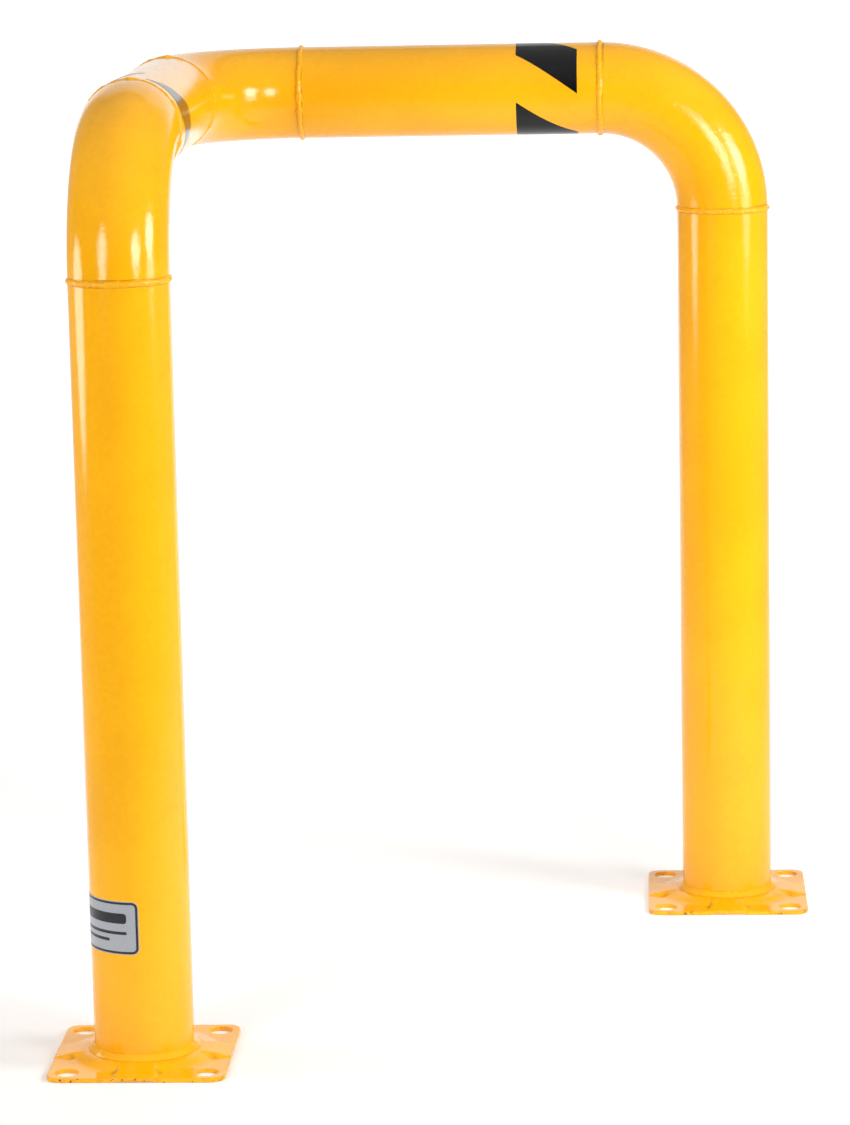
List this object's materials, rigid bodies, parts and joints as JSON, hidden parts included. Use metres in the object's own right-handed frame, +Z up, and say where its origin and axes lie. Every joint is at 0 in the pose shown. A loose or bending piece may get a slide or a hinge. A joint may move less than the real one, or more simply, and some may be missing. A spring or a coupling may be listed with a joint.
{
  "type": "corner guard rail",
  "caption": "Welded steel pipe corner guard: vertical posts on pressed base plates carry an L-shaped top rail that wraps the corner of a machine, rack or column.",
  "frame": {"origin": "on the floor, midway between the two post axes, which is the centre of the bounding box's bottom", "axes": "+X along the cross rail from the free corner to the right post, +Y along the side rail from the left post to the free corner, +Z up"},
  "size_m": [0.8832, 0.8832, 1.1079],
  "materials": {
    "yellow_paint": "gloss safety-yellow enamel over steel and its welds",
    "black_vinyl": "gloss black vinyl film",
    "label_film": "printed silver-grey polyester film, gloss"
  },
  "bodies": {
    "root": {"left_base_plate": "yellow_paint", "right_base_plate": "yellow_paint", "left_post": "yellow_paint", "right_post": "yellow_paint", "left_elbow": "yellow_paint", "side_rail": "yellow_paint", "corner_elbow": "yellow_paint", "cross_rail": "yellow_paint", "right_elbow": "yellow_paint", "left_base_weld": "yellow_paint", "right_base_weld": "yellow_paint", "left_post_weld": "yellow_paint", "left_elbow_weld": "yellow_paint", "side_rail_weld": "yellow_paint", "corner_elbow_weld": "yellow_paint", "cross_rail_weld": "yellow_paint", "right_post_weld": "yellow_paint", "side_rail_stripes": "black_vinyl", "cross_rail_stripes": "black_vinyl", "post_label": "label_film"}
  },
  "joints": []
}
